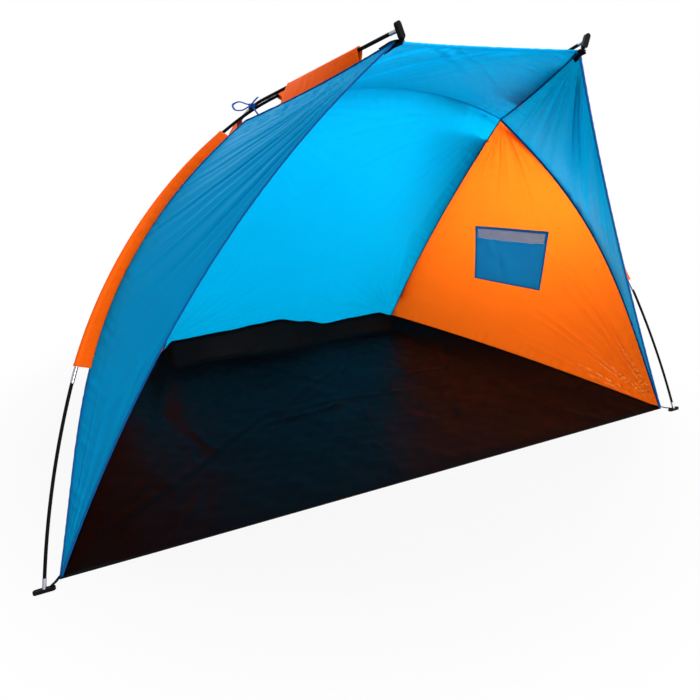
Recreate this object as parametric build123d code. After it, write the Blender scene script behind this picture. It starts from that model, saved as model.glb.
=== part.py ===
from build123d import *
import math
import os

# Beach windbreak: a canopy of cut fabric panels carried on flexible poles by sewn sleeves.
# Millimetres. Origin at the middle of the groundsheet's underside, +Z up, open front towards -Y.

# Groundsheet
FLOOR_FRONT_WIDTH = 2000.0
FLOOR_BACK_WIDTH = 1114.0
FLOOR_DEPTH = 1200.0
SHEET_THICKNESS = 2.0
RIM_HEIGHT = 62.0
BACK_RIM_RUN = 56.0
BACK_RIM_INSET = 27.0
SIDE_RIM_RUN = 130.0
SIDE_RIM_PLACE_SHARE = 0.5

# Canopy: each hub is where side, front, back and roof panels meet, each tip is a roof corner
HUB_SPACING = 822.0
HUB_SETBACK = 299.0
HUB_HEIGHT = 999.0
TIP_SPACING = 484.0
TIP_REACH = 169.0
TIP_HEIGHT = 1153.0
TOP_SEAM_SETBACK = 38.0
TOP_SEAM_RISE = 116.0
ROOF_EDGE_SCOOP = 244.0
ROOF_EDGE_RISE = 21.0
FABRIC_THICKNESS = 2.0

# Handles of the seam curves, as shares of the way from one end to the other in X, Y and Z
SIDE_SEAM_LOW_SHARES = (0.188, 0.441, 0.376)
SIDE_SEAM_HIGH_SHARES = (0.209, 0.816, 0.650)
BACK_SEAM_SHARES = (0.596, 0.477, 0.535)
ROOF_SEAM_SHARES = (0.503, 0.496, 0.403)
FREE_EDGE_SHARES = (0.479, -0.349, 0.663)
TOP_SEAM_HANDLE_SHARE = 0.406

# Side window: centred near shares of the front corner, back corner and hub
WINDOW_WIDTH = 271.0
WINDOW_HEIGHT = 258.0
WINDOW_LEAN = 35.0
WINDOW_PLACE_SHARES = (0.270, 0.278, 0.452)
WINDOW_BINDING_WIDTH = 5.0
WINDOW_BINDING_THICKNESS = 1.0
WINDOW_FLAP_HEIGHT = 196.0
WINDOW_CLEARANCE = 0.2
WINDOW_LAYER_GAP = 0.3
WINDOW_CUT_REACH = 150.0

# Flexible poles: rods in sections, joined by metal ferrules
ROD_DIAMETER = 7.9
FERRULE_WALL = 0.6
FERRULE_CLEARANCE = 0.1
FERRULE_LENGTH = 90.0
END_FERRULE_LENGTH = 26.0
ROD_END_HEIGHT = 5.0
ARCH_FOOT_OUTSET = 34.0
ARCH_FOOT_FORWARD = 25.0
ARCH_TOP_BACK = 47.0
ARCH_TOP_UP = 35.0
ARCH_SHOULDER_SHARES = (0.411, 0.891)
ARCH_KNEE_SHARES = (0.8865, 0.3686)
BOW_FOOT_OUTSET = 42.0
BOW_FOOT_BACK = 30.0
BOW_TIP_FORWARD = 15.0
BOW_TIP_UP = 21.0
BOW_BEND_RADIUS = 420.0
BOW_TURN_SHARE = 0.88
CROSSING_SHARE = 0.22
CROSSING_GAP = 0.3
ARCH_JOINT_SHARES = (0.36, 0.70)
BOW_JOINT_SHARES = (0.34, 0.67)

# Sleeves: a tube round a share of the pole and a flap down to the seam
SLEEVE_BORE_RADIUS = 5.6
SLEEVE_WALL = 1.0
FLAP_THICKNESS = 1.0
FLAP_SEAT = 4.4
FLAP_STATIONS = 7
ARCH_SLEEVE_SHARES = (0.297, 0.703)
TOP_SLEEVE_SHARE = 0.183
BOW_LOWER_SLEEVE_SHARES = (0.12, 0.66)
BOW_UPPER_SLEEVE_SHARES = (0.797, 0.937)

# End bars, straps and tie tapes
BAR_LENGTH = 48.0
BAR_WIDTH = 12.0
BAR_HEIGHT = 8.5
TIP_BAR_LENGTH = 34.0
TIP_BAR_WIDTH = 12.5
TIP_BAR_HEIGHT = 11.0
TIP_BAR_DROP = 2.0
TIP_BAR_LEAN = 18.0
TIP_BAR_BORE_DEPTH = 7.0
BAR_EDGE = 1.6
BAR_BORE_CLEARANCE = 0.1
STRAP_WIDTH = 12.0
STRAP_THICKNESS = 1.5
STRAP_BAR_SEAT = 0.4
TIP_STRAP_BAR_SEAT = 0.9
STRAP_CORNER_SEAT = 2.6
TAPE_WIDTH = 12.0
TAPE_THICKNESS = 1.2
TAPE_SEAM_SEAT = 3.2
TAPE_POLE_SEAT = 1.5
TAPE_SEAM_SHARE = 0.93

FRONT_Y = -FLOOR_DEPTH / 2
BACK_Y = FLOOR_DEPTH / 2
ROD_RADIUS = ROD_DIAMETER / 2
FERRULE_BORE_RADIUS = ROD_RADIUS + FERRULE_CLEARANCE
FERRULE_RADIUS = FERRULE_BORE_RADIUS + FERRULE_WALL
UP = Vector(0, 0, 1)

# Points on the right half, where the panels meet
front_corner = Vector(FLOOR_FRONT_WIDTH / 2, FRONT_Y, SHEET_THICKNESS)
back_corner = Vector(FLOOR_BACK_WIDTH / 2, BACK_Y, RIM_HEIGHT)
hub = Vector(HUB_SPACING / 2, FRONT_Y + HUB_SETBACK, HUB_HEIGHT)
tip = Vector(TIP_SPACING / 2, FRONT_Y - TIP_REACH, TIP_HEIGHT)

nodes = {}


def flipped(point):
    return Vector(-point.X, point.Y, point.Z)


def toward(start, end, shares):
    step = end - start
    return start + Vector(step.X * shares[0], step.Y * shares[1], step.Z * shares[2])


def square_to(direction, line_direction):
    return (direction - line_direction * direction.dot(line_direction)).normalized()


def mirrored(shape):
    return mirror(shape, about=Plane.YZ)


def add_pair(name, right):
    nodes["right_" + name] = right
    nodes["left_" + name] = mirrored(right)


# Seams and edges of the right half
side_seam = Edge.make_bezier(
    front_corner,
    toward(front_corner, hub, SIDE_SEAM_LOW_SHARES),
    toward(front_corner, hub, SIDE_SEAM_HIGH_SHARES),
    hub,
)
back_seam = Edge.make_bezier(back_corner, toward(back_corner, hub, BACK_SEAM_SHARES), hub)
roof_seam = Edge.make_bezier(hub, toward(hub, tip, ROOF_SEAM_SHARES), tip)
free_edge = Edge.make_bezier(front_corner, toward(front_corner, tip, FREE_EDGE_SHARES), tip)
top_handle = Vector(hub.X * TOP_SEAM_HANDLE_SHARE, hub.Y + TOP_SEAM_SETBACK, hub.Z + TOP_SEAM_RISE)
top_seam = Edge.make_bezier(flipped(hub), flipped(top_handle), top_handle, hub)
roof_edge = Edge.make_bezier(
    flipped(tip), Vector(0, tip.Y + ROOF_EDGE_SCOOP, tip.Z + ROOF_EDGE_RISE), tip
)


def thick_sheet(face, depth, outward):
    # The sheet grows from its face towards the side that outward points to
    side = 1 if face.normal_at(face.center()).dot(outward) > 0 else -1
    return Solid.thicken(face, side * depth)


# Canopy panels: each one fills its seams and is thickened outwards
out_of_side = (back_corner - front_corner).cross(hub - front_corner).normalized()
out_of_front = (hub - front_corner).cross(tip - front_corner).normalized()
side_face = Face.make_surface([side_seam, back_seam, Edge.make_line(back_corner, front_corner)])
front_face = Face.make_surface([side_seam, roof_seam, free_edge])
back_face = Face.make_surface(
    [
        back_seam,
        top_seam,
        mirrored(back_seam).edge(),
        Edge.make_line(flipped(back_corner), back_corner),
    ]
)
roof_face = Face.make_surface([roof_seam, roof_edge, mirrored(roof_seam).edge(), top_seam])

add_pair("front_panel", thick_sheet(front_face, FABRIC_THICKNESS, out_of_front))
nodes["back_panel"] = thick_sheet(back_face, FABRIC_THICKNESS, Vector(0, 1, 1))
nodes["roof_panel"] = thick_sheet(roof_face, FABRIC_THICKNESS, UP)


# Side panels and their windows: mesh in the cut, a bound frame and a fabric flap on the inside
window_centre = (
    front_corner * WINDOW_PLACE_SHARES[0]
    + back_corner * WINDOW_PLACE_SHARES[1]
    + hub * WINDOW_PLACE_SHARES[2]
)
window_seat = side_face.closest_points(Vertex(window_centre))[0]
out_of_window = side_face.normal_at(window_seat)
out_of_window = out_of_window if out_of_window.dot(out_of_side) > 0 else -out_of_window
window_plane = Plane(window_seat, x_dir=UP.cross(out_of_window), z_dir=out_of_window)


def window_prism(inset, low, high):
    # A leaning block through the panel, drawn in from the window's edge and kept between two heights
    def corner(side, height):
        lean = WINDOW_LEAN * height / WINDOW_HEIGHT
        return (side * (WINDOW_WIDTH / 2 - inset) + side_sign * lean, height)

    side_sign = 1 if window_plane.x_dir.dot(front_corner - back_corner) > 0 else -1
    outline = Polygon(corner(-1, low), corner(1, low), corner(1, high), corner(-1, high), align=None)
    return extrude(window_plane * outline, WINDOW_CUT_REACH, both=True)


half_height = WINDOW_HEIGHT / 2
flap_top = WINDOW_FLAP_HEIGHT - half_height
flap_inset = WINDOW_BINDING_WIDTH + WINDOW_CLEARANCE
side_sheet = thick_sheet(side_face, FABRIC_THICKNESS, out_of_side)
inner_face = side_face.moved(Location(-out_of_side * WINDOW_LAYER_GAP))
inner_layer = thick_sheet(inner_face, WINDOW_BINDING_THICKNESS, -out_of_side)
whole_window = window_prism(0, -half_height, half_height)
bound_window = window_prism(
    -WINDOW_BINDING_WIDTH, -half_height - WINDOW_BINDING_WIDTH, half_height + WINDOW_BINDING_WIDTH
)
framed_window = window_prism(
    WINDOW_BINDING_WIDTH, WINDOW_BINDING_WIDTH - half_height, half_height - WINDOW_BINDING_WIDTH
)
clear_window = window_prism(
    WINDOW_CLEARANCE, WINDOW_CLEARANCE - half_height, half_height - WINDOW_CLEARANCE
)
flap_window = window_prism(flap_inset, flap_inset - half_height, flap_top)

add_pair("side_panel", side_sheet - whole_window)
add_pair("window_mesh", side_sheet & clear_window)
add_pair("window_binding", (inner_layer & bound_window) - framed_window)
add_pair("window_flap", inner_layer & flap_window)


# Groundsheet: flat floor with rims that slope up to the canopy's lower edges, open at the front
rim_drop = Vector(0, 0, SHEET_THICKNESS)
floor_front = front_corner - rim_drop
rim_back = back_corner - rim_drop
fold_back = Vector(back_corner.X - BACK_RIM_INSET, BACK_Y - BACK_RIM_RUN, 0)
side_middle = floor_front + (rim_back - floor_front) * SIDE_RIM_PLACE_SHARE
fold_side = Vector(side_middle.X - SIDE_RIM_RUN, side_middle.Y, 0)


def sheet_piece(*corners):
    return extrude(Face(Wire.make_polygon(corners)), SHEET_THICKNESS, dir=UP)


floor = sheet_piece(
    flipped(floor_front), floor_front, fold_side, fold_back, flipped(fold_back), flipped(fold_side)
)
side_rim = sheet_piece(floor_front, rim_back, fold_side) + sheet_piece(fold_side, rim_back, fold_back)
back_rim = sheet_piece(fold_back, rim_back, flipped(rim_back), flipped(fold_back))
nodes["groundsheet"] = floor + side_rim + mirrored(side_rim) + back_rim


# Arch pole: half of it, from its top down to the right foot, in a plane that leans back
arch_foot = Vector(
    FLOOR_FRONT_WIDTH / 2 + ARCH_FOOT_OUTSET, FRONT_Y - ARCH_FOOT_FORWARD, ROD_END_HEIGHT
)
arch_top = top_seam.position_at(0.5) + Vector(0, ARCH_TOP_BACK, ARCH_TOP_UP)
arch_rise = arch_top - Vector(0, arch_foot.Y, arch_foot.Z)


def arch_point(shares):
    return Vector(arch_foot.X * shares[0], arch_foot.Y, arch_foot.Z) + arch_rise * shares[1]


def tangent_chain(points, direction):
    # Arcs through the points, each one carrying on in the direction in which the last one ended
    edges = []
    for start, end in zip(points, points[1:]):
        edges.append(Edge.make_tangent_arc(start, direction, end))
        direction = edges[-1].tangent_at(1)
    return Wire(edges)


arch_points = [arch_top, arch_point(ARCH_SHOULDER_SHARES), arch_point(ARCH_KNEE_SHARES), arch_foot]
arch_line = tangent_chain(arch_points, Vector(1, 0, 0))

# Bow pole: right one, from its back foot over the arch to its tip above the roof corner,
# as two straight runs drawn tangent to one bend that rides on the arch
bow_foot = Vector(back_corner.X + BOW_FOOT_OUTSET, BACK_Y + BOW_FOOT_BACK, ROD_END_HEIGHT)
bow_tip = tip + Vector(0, -BOW_TIP_FORWARD, BOW_TIP_UP)
arch_crossing = arch_line.position_at(CROSSING_SHARE)
crossing_normal = (bow_tip - arch_crossing).cross(arch_line.tangent_at(CROSSING_SHARE)).normalized()
crossing_normal = crossing_normal if crossing_normal.Z > 0 else -crossing_normal
bow_crossing = arch_crossing + crossing_normal * (ROD_DIAMETER + CROSSING_GAP)
from_foot = (bow_crossing - bow_foot).normalized()
to_tip = (bow_tip - bow_crossing).normalized()
bow_turn = math.radians(from_foot.get_angle(to_tip))
foot_weight = math.sin((1 - BOW_TURN_SHARE) * bow_turn)
tip_weight = math.sin(BOW_TURN_SHARE * bow_turn)
bend_forward = (from_foot * foot_weight + to_tip * tip_weight).normalized()
bend_inward = square_to(to_tip - from_foot, bend_forward)
bend_centre = bow_crossing + bend_inward * BOW_BEND_RADIUS


def bend_touch(end):
    # Where a straight run from the end touches the bend
    away = (end - bend_centre).normalized()
    across = (-bend_inward - away * away.dot(-bend_inward)).normalized()
    turn = math.acos(BOW_BEND_RADIUS / (end - bend_centre).length)
    return bend_centre + (away * math.cos(turn) + across * math.sin(turn)) * BOW_BEND_RADIUS


bend_start = bend_touch(bow_foot)
bend_end = bend_touch(bow_tip)
bow_line = Wire(
    [
        Edge.make_line(bow_foot, bend_start),
        Edge.make_three_point_arc(bend_start, bow_crossing, bend_end),
        Edge.make_line(bend_end, bow_tip),
    ]
)


def along_edge(profile, edge):
    # The profile carried along one straight or round edge of a centre line
    start = edge.position_at(0)
    forward = edge.tangent_at(0)
    section = Plane(start, z_dir=forward) * profile
    if edge.geom_type == GeomType.LINE:
        return extrude(section, edge.length, dir=forward)
    centre = edge.arc_center
    axis = Axis(centre, (start - centre).cross(forward))
    return revolve(section, axis, math.degrees(edge.length / edge.radius))


def swept(profile, line, start, end):
    pieces = [along_edge(profile, edge) for edge in line.trim(start, end).order_edges()]
    return pieces[0].fuse(*pieces[1:]) if len(pieces) > 1 else pieces[0]


def rod_sections(line, joint_shares):
    stops = (0, *joint_shares, 1)
    return [swept(Circle(ROD_RADIUS), line, start, end) for start, end in zip(stops, stops[1:])]


ferrule_ring = Circle(FERRULE_RADIUS) - Circle(FERRULE_BORE_RADIUS)


def joint_ferrules(line, joint_shares):
    half = FERRULE_LENGTH / 2 / line.length
    return [swept(ferrule_ring, line, share - half, share + half) for share in joint_shares]


arch_sections = rod_sections(arch_line, ARCH_JOINT_SHARES)
for section, place in zip(arch_sections, ("upper", "middle", "lower")):
    add_pair("arch_pole_" + place, section)
bow_sections = rod_sections(bow_line, BOW_JOINT_SHARES)
for section, place in zip(bow_sections, ("lower", "middle", "upper")):
    add_pair("bow_pole_" + place, section)

end_share = END_FERRULE_LENGTH / arch_line.length
arch_ferrules = joint_ferrules(arch_line, ARCH_JOINT_SHARES)
arch_ferrules.append(swept(ferrule_ring, arch_line, 1 - end_share, 1))
top_ferrule = swept(ferrule_ring, arch_line, 0, FERRULE_LENGTH / 2 / arch_line.length)
left_ferrules = [mirrored(ferrule) for ferrule in arch_ferrules]
nodes["arch_ferrules"] = Compound(arch_ferrules + left_ferrules + [top_ferrule + mirrored(top_ferrule)])
end_share = END_FERRULE_LENGTH / bow_line.length
bow_ferrules = joint_ferrules(bow_line, BOW_JOINT_SHARES)
bow_ferrules.append(swept(ferrule_ring, bow_line, 0, end_share))
bow_ferrules.append(swept(ferrule_ring, bow_line, 1 - end_share, 1))
nodes["right_bow_ferrules"] = Compound(bow_ferrules)
nodes["left_bow_ferrules"] = Compound([mirrored(ferrule) for ferrule in bow_ferrules])


# Sleeves
def sleeve(line, start, end, seam):
    # The flap runs from the middle of the tube's wall to the nearest points of the seam
    pole_edge = []
    seam_edge = []
    for station in range(FLAP_STATIONS):
        on_pole = line.position_at(start + (end - start) * station / (FLAP_STATIONS - 1))
        on_seam = seam.closest_points(Vertex(on_pole))[0]
        to_seam = (on_seam - on_pole).normalized()
        pole_edge.append(on_pole + to_seam * (SLEEVE_BORE_RADIUS + SLEEVE_WALL / 2))
        seam_edge.append(on_seam - to_seam * FLAP_SEAT)
    flap = Face.make_surface_from_curves(Edge.make_spline(pole_edge), Edge.make_spline(seam_edge))
    cover = swept(Circle(SLEEVE_BORE_RADIUS + SLEEVE_WALL), line, start, end)
    bore = swept(Circle(SLEEVE_BORE_RADIUS), line, start, end)
    return cover + Solid.thicken(flap, FLAP_THICKNESS) - bore


add_pair("arch_sleeve", sleeve(arch_line, *ARCH_SLEEVE_SHARES, side_seam))
top_sleeve_end = arch_line.position_at(TOP_SLEEVE_SHARE)
top_sleeve_line = Wire([Edge.make_three_point_arc(flipped(top_sleeve_end), arch_top, top_sleeve_end)])
nodes["top_sleeve"] = sleeve(top_sleeve_line, 0, 1, top_seam)
add_pair("bow_lower_sleeve", sleeve(bow_line, *BOW_LOWER_SLEEVE_SHARES, back_seam))
add_pair("bow_upper_sleeve", sleeve(bow_line, *BOW_UPPER_SLEEVE_SHARES, roof_seam))


# End bars with a blind bore for the pole's end
def end_bar(length, width, height, place, pole_end, pole_inward):
    bar = place * extrude(SlotOverall(length, width), height)
    bar = chamfer(bar.faces().sort_by(Axis(place.origin, place.z_dir))[-1].edges(), BAR_EDGE)
    bore = Plane(pole_end, z_dir=pole_inward) * Cylinder(
        FERRULE_RADIUS + BAR_BORE_CLEARANCE, length, align=(Align.CENTER, Align.CENTER, Align.MIN)
    )
    return bar - bore


def strap(start, end, across, width, thickness, start_seat, end_seat):
    # A flat strap between two points, seated just clear of what it is sewn to at both ends
    reach = (end - start).normalized()
    first = start + reach * start_seat
    last = end - reach * end_seat
    place = Plane((first + last) / 2, x_dir=reach, z_dir=reach.cross(across))
    return place * Box((last - first).length, width, thickness)


def corner_strap(start, corner, across, bar_seat):
    return strap(start, corner, across, STRAP_WIDTH, STRAP_THICKNESS, bar_seat, STRAP_CORNER_SEAT)


def bar_end(bar_place, length, width, side):
    return bar_place.origin + bar_place.x_dir * side * (length - width) / 2


def off_bar(middle, corner):
    # Where a strap bound for the corner leaves the bar's rounded end
    level = Vector(corner.X - middle.X, corner.Y - middle.Y, 0).normalized()
    return middle + level * BAR_WIDTH / 2


front_bar_place = Plane((arch_foot.X, arch_foot.Y, 0), x_dir=(1, 0, 0), z_dir=UP)
foot_bar_sizes = (BAR_LENGTH, BAR_WIDTH, BAR_HEIGHT)
add_pair("front_foot_bar", end_bar(*foot_bar_sizes, front_bar_place, arch_foot, -arch_line.tangent_at(1)))
front_strap_height = Vector(0, 0, SHEET_THICKNESS / 2)
front_strap_end = front_corner - front_strap_height
front_bar_end = bar_end(front_bar_place, BAR_LENGTH, BAR_WIDTH, -1)
front_strap_start = off_bar(front_bar_end + front_strap_height, front_strap_end)
front_strap_across = UP.cross(front_strap_end - front_strap_start)
add_pair(
    "front_strap", corner_strap(front_strap_start, front_strap_end, front_strap_across, STRAP_BAR_SEAT)
)

back_bar_place = Plane((bow_foot.X, bow_foot.Y, 0), x_dir=(1, 0, 0), z_dir=UP)
add_pair("back_foot_bar", end_bar(*foot_bar_sizes, back_bar_place, bow_foot, bow_line.tangent_at(0)))
back_bar_end = bar_end(back_bar_place, BAR_LENGTH, BAR_WIDTH, -1)
back_strap_start = off_bar(back_bar_end + Vector(0, 0, BAR_HEIGHT), back_corner)
add_pair("back_strap", corner_strap(back_strap_start, back_corner, Vector(1, 0, 0), STRAP_BAR_SEAT))

tip_inward = -bow_line.tangent_at(1)
tip_level = tip_inward.cross(UP).normalized()
tip_level = tip_level if tip_level.X < 0 else -tip_level
tip_down = tip_level.cross(tip_inward)
tip_down = tip_down if tip_down.Z < 0 else -tip_down
tip_lean = math.radians(TIP_BAR_LEAN)
tip_bar_way = tip_down * math.cos(tip_lean) + tip_level * math.sin(tip_lean)
tip_bar_base = (
    bow_tip - tip_inward * (TIP_BAR_HEIGHT - TIP_BAR_BORE_DEPTH) + tip_bar_way * TIP_BAR_DROP
)
tip_bar_place = Plane(tip_bar_base, x_dir=tip_bar_way, z_dir=tip_inward)
add_pair(
    "tip_bar", end_bar(TIP_BAR_LENGTH, TIP_BAR_WIDTH, TIP_BAR_HEIGHT, tip_bar_place, bow_tip, tip_inward)
)
tip_bar_end = bar_end(tip_bar_place, TIP_BAR_LENGTH, TIP_BAR_WIDTH, 1)
tip_strap_start = tip_bar_end + tip_inward * TIP_BAR_HEIGHT
add_pair("tip_strap", corner_strap(tip_strap_start, tip, tip_level, TIP_STRAP_BAR_SEAT))

# Tie tapes that hold the top seam up to the crossing poles
add_pair(
    "tie_tape",
    strap(
        top_seam.position_at(TAPE_SEAM_SHARE),
        arch_crossing,
        arch_line.tangent_at(CROSSING_SHARE),
        TAPE_WIDTH,
        TAPE_THICKNESS,
        TAPE_SEAM_SEAT,
        ROD_RADIUS + TAPE_POLE_SEAT,
    ),
)

os.makedirs("parts", exist_ok=True)
for name, shape in nodes.items():
    export_step(shape, "parts/" + name + ".step")
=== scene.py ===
import math

import bmesh
import bpy
import numpy as np
from bpy.props import FloatProperty, FloatVectorProperty, PointerProperty
from mathutils import Euler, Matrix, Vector
from mathutils.bvhtree import BVHTree


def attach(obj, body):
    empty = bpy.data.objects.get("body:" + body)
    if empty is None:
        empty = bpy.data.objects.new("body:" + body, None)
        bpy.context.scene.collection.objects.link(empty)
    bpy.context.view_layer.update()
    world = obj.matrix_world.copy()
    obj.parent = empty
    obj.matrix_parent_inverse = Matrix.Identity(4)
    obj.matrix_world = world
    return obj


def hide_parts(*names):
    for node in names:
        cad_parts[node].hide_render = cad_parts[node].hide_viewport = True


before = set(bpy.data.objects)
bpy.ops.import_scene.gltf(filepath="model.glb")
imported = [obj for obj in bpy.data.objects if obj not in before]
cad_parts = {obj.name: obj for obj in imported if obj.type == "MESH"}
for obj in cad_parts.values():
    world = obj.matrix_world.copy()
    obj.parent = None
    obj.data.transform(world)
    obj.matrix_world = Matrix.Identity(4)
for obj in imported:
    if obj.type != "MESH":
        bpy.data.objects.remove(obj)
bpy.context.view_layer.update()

bl_info = {
    "name": "Beach Windbreak",
    "version": (1, 0, 0),
    "blender": (4, 5, 0),
    "location": "3D View > Sidebar > Windbreak",
    "description": "Dresses the packed windbreak in cloth, sleeves, straps and finishes",
    "category": "Object",
}

MM = 0.001
UP = np.array((0.0, 0.0, 1.0))
SIDES = (("right", 1), ("left", -1))

# Handles of the seam curves, as shares of the way from one end to the other in X, Y and Z
SIDE_SEAM_LOW_SHARES = (0.188, 0.441, 0.376)
SIDE_SEAM_HIGH_SHARES = (0.209, 0.816, 0.650)
BACK_SEAM_SHARES = (0.596, 0.477, 0.535)
ROOF_SEAM_SHARES = (0.503, 0.496, 0.403)
FREE_EDGE_SHARES = (0.479, -0.349, 0.663)
TOP_SEAM_HANDLE_SHARE = 0.406
TOP_SEAM_RISE = (0, 0.038, 0.116)
ROOF_EDGE_BOW = (0, 0.244, 0.021)
WINDOW_PLACE_SHARES = (0.270, 0.278, 0.452)
ARCH_SHOULDER_SHARES = (0.411, 0.891)
ARCH_KNEE_SHARES = (0.8865, 0.3686)
CROSSING_SHARE = 0.22
BOW_TURN_SHARE = 0.88
BOW_BEND_RADIUS = 0.42

# Where the poles end and pass, in metres from the canopy's corners and top seam
ARCH_FOOT_OFF = (0.034, -0.025, 0.003)
ARCH_TOP_OFF = (0, 0.047, 0.035)
BOW_FOOT_OFF = (0.042, 0.030, 0.005)
BOW_TIP_OFF = (0, -0.015, 0.021)
POLE_GAP = 0.0003

# Thin and close things, in metres: cloth, sleeves, threads, stitches, tapes and the least height of tapes
FLOOR_CLOTH = 0.0012
FLOOR_LIFT = 0.0008
SLEEVE_CLOTH = 0.0007
SLEEVE_STEP = 0.006
SLEEVE_SEAM_GAP = 0.0006
SLEEVE_HEM = 0.006
NET_THREAD = 0.0029
NET_LIFT = 0.0004
STITCH_STEP = 0.004
STITCH_HALF_WIDTH = 0.0009
TAPE_THICKNESS = 0.0018
TIE_TAPE_THICKNESS = 0.0032
SEAM_SHIFT = 0.0012
SEAM_WAVER, SEAM_WAVER_STEP = 0.0004, 0.03
FLOOR_GAP = 0.0004

# Inside the shelter, where the seam tapes face
SHELTER_MIDDLE = np.array((0.0, -0.1, 0.35))

# The knot of the tie tapes: share of the half arch from its top, and height over the pole's middle
KNOT_SHARE, KNOT_LIFT = 0.234, 0.0125

# The window flaps: gap behind the cloth, slack, height and spacing of folds, bulges, droop and hem
FLAP_GAP, FLAP_SLACK = 0.0022, 0.0040
FLAP_FOLD, FLAP_FOLD_STEP = 0.0018, 0.08
FLAP_BULGE, FLAP_BULGE_SIZE = 0.0020, 0.11
FLAP_DROOP, FLAP_HEM = 0.004, 0.007

# Light that has come through a face is paler than the cloth: its colour to this power
PALE_POWER = 0.34

# The shader's socket for its sheen, and how many points are compared with a seam at a time
SHEEN = "Specular IOR Level"
NEAREST_AT_ONCE = 4000

# Groundsheet folds on the right: how far out each one lies at a share of the depth from the front
FOLD_DEPTH_SHARES = (0.0, 0.118, 0.243, 0.406, 0.591, 0.788, 0.954, 1.0)
FOLD_OUT = (0.760, 0.656, 0.602, 0.618, 0.645, 0.600, 0.530, 0.515)

# Groundsheet creases: ends on the floor, height and half width
CREASES = (
    ((-0.95, -0.52), (0.45, 0.52), 0.0030, 0.010), ((-0.35, -0.60), (0.30, 0.56), 0.0026, 0.010),
    ((-0.62, 0.02), (0.62, -0.12), 0.0026, 0.011), ((0.15, -0.60), (0.60, 0.20), 0.0028, 0.010),
    ((-0.58, -0.03), (-0.52, -0.20), 0.0060, 0.009), ((-0.36, -0.10), (-0.02, -0.06), 0.0060, 0.012),
    ((0.04, -0.12), (0.00, -0.23), 0.0055, 0.009), ((-0.06, -0.36), (-0.05, -0.41), 0.0055, 0.008),
    ((-0.10, 0.33), (-0.02, 0.14), 0.0055, 0.012), ((0.28, 0.06), (0.50, 0.05), 0.0050, 0.011),
    ((-0.38, 0.20), (-0.06, 0.22), 0.0050, 0.013),
)

# How far the groundsheet rides up the back panel, at shares of the back edge from left to right
RIDE_SHARES = (0.0, 0.04, 0.26, 0.37, 0.47, 0.58, 0.68, 0.80, 0.93, 1.0)
RIDE_UP = (0.0, 0.036, 0.046, 0.056, 0.062, 0.036, 0.010, 0.018, 0.023, 0.0)

# Groundsheet: width of the fold at the back, how the folds waver, how far the edges hold it flat, fold ridges
BACK_FOLD_WIDTH = 0.056
BACK_FOLD_WAVER = 0.008
EDGE_HOLD = 0.03
CREASE_WAVER = 0.012
FOLD_RIDGE_HEIGHT, FOLD_RIDGE_WIDTH = 0.0028, 0.012

# Groundsheet crumples: height, width and seed
CRUMPLES = ((0.0016, 0.16, 3), (0.0011, 0.07, 4), (0.0022, 0.42, 5))

# Sleeve folds: height, spacing along the sleeve and what is added to its seed
SLEEVE_FOLDS = ((0.0011, 0.034, 0), (0.0008, 0.017, 40))

# Area lamps: place, what they point at, watts and width; back and top light the cloth from behind
LAMPS = {
    "top_lamp": ((0.0, 0.3, 4.6), (0.0, 0.0, 0.4), 95, 3.0),
    "back_lamp": ((-0.3, 4.2, 2.8), (0.1, 0.1, 0.5), 80, 3.4),
    "right_lamp": ((2.8, -0.3, 2.8), (0.4, -0.2, 0.8), 8, 2.6),
    "near_right_lamp": ((1.12, -0.06, 1.08), (0.45, -0.24, 0.9), 18, 0.4),
    "left_lamp": ((-1.5, -0.9, 2.3), (-0.4, -0.6, 1.0), 6, 1.0),
    "low_lamp": ((1.6, -2.6, 0.25), (0.0, -0.3, 1.1), 16, 0.8),
    "front_lamp": ((1.2, -4.4, 1.5), (0.0, 0.3, 0.5), 195, 1.6),
}
WORLD_LIGHT = 0.46

# The studio floor, in metres: its radius, and where it begins and ends to fade to white
FLOOR_RADIUS, FLOOR_FADE = 14, (0.9, 1.5)

# The camera that the photo was fitted with: millimetres, shares of the picture, metres and degrees
LENS, SENSOR, SHIFT = 31.63, 36.0, (0.007, -0.0364)
CAMERA_PLACE, CAMERA_DOWN, CAMERA_TURN = (-0.899, -1.920, 1.028), 19.3, -25.46


def linear(hex_colour):
    """An sRGB hex colour as linear red, green and blue."""
    parts = [int(hex_colour[i:i + 2], 16) / 255 for i in (0, 2, 4)]
    return tuple(c / 12.92 if c <= 0.04045 else ((c + 0.055) / 1.055) ** 2.4 for c in parts)


def length_property(name, description, default):
    return FloatProperty(name=name, description=description, default=default, unit="LENGTH", precision=4)


def colour_property(name, description, hex_colour):
    return FloatVectorProperty(
        name=name, description=description, default=linear(hex_colour), subtype="COLOR", size=3, min=0, max=1
    )


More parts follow.
